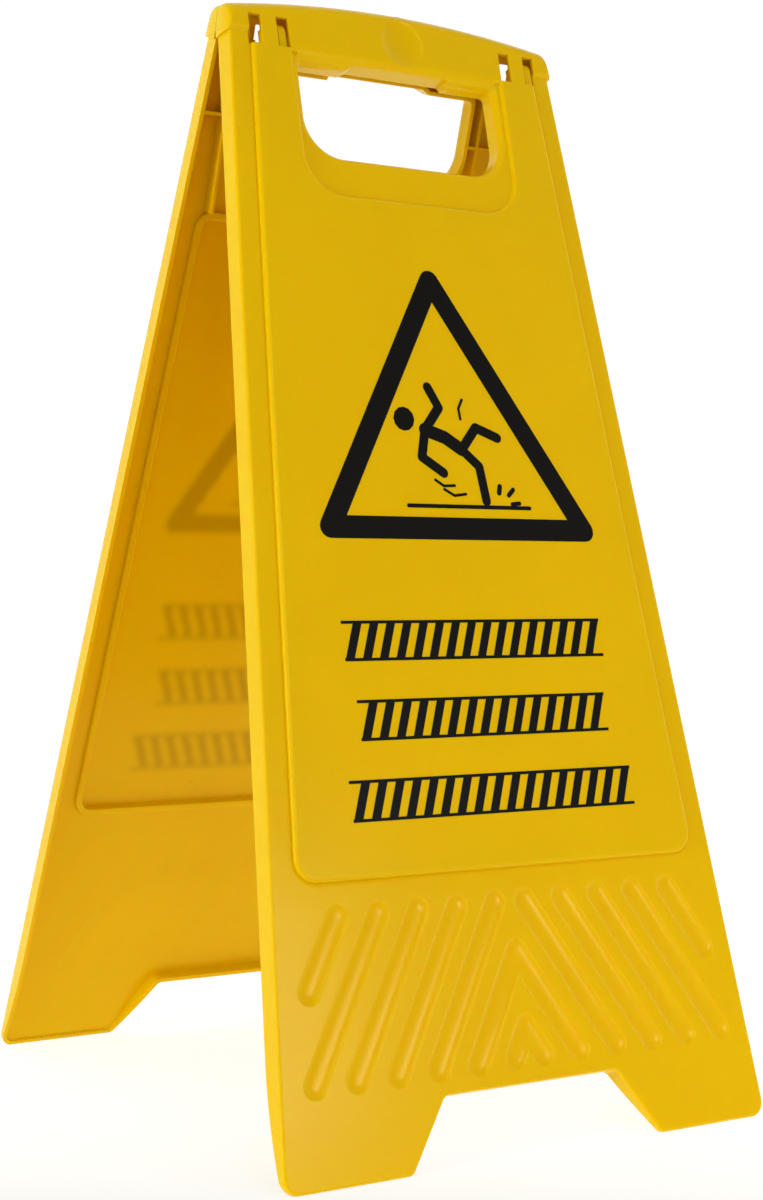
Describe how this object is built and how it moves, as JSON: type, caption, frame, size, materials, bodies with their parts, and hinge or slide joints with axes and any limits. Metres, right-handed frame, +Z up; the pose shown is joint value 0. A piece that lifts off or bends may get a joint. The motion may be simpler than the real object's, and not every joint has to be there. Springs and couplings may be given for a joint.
{
  "type": "folding wet floor sign",
  "caption": "Yellow folding A-frame floor sign: ribbed moulded panels hinged at the head, a handle opening, chevron grooves and printed slip hazard markings.",
  "frame": {"origin": "on the floor, midway between the feet of the two open panels", "axes": "+Z up, X across the sign along the hinge axis, Y from the front panel's feet (-Y) to the rear panel's feet (+Y)"},
  "size_m": [0.2984, 0.3432, 0.5992],
  "materials": {
    "front_shell": "semi-gloss moulded polypropylene",
    "front_ink": "screen-printed ink",
    "rear_shell": "semi-gloss moulded polypropylene",
    "rear_ink": "screen-printed ink"
  },
  "bodies": {
    "front_side": {"front_panel": "front_shell", "front_triangle_print": "front_ink", "front_figure_print": "front_ink", "front_figure_head_print": "front_ink", "front_upper_stripes_print": "front_ink", "front_middle_stripes_print": "front_ink", "front_lower_stripes_print": "front_ink"},
    "rear_side": {"rear_panel": "rear_shell", "rear_triangle_print": "rear_ink", "rear_figure_print": "rear_ink", "rear_figure_head_print": "rear_ink", "rear_upper_stripes_print": "rear_ink", "rear_middle_stripes_print": "rear_ink", "rear_lower_stripes_print": "rear_ink"}
  },
  "joints": [
    {"name": "fold", "type": "hinge", "parent": "front_side", "child": "rear_side", "pos_m": [0, 0, 0.57663], "axis": [-1, 0, 0], "range_deg": [0, 30.98]}
  ]
}
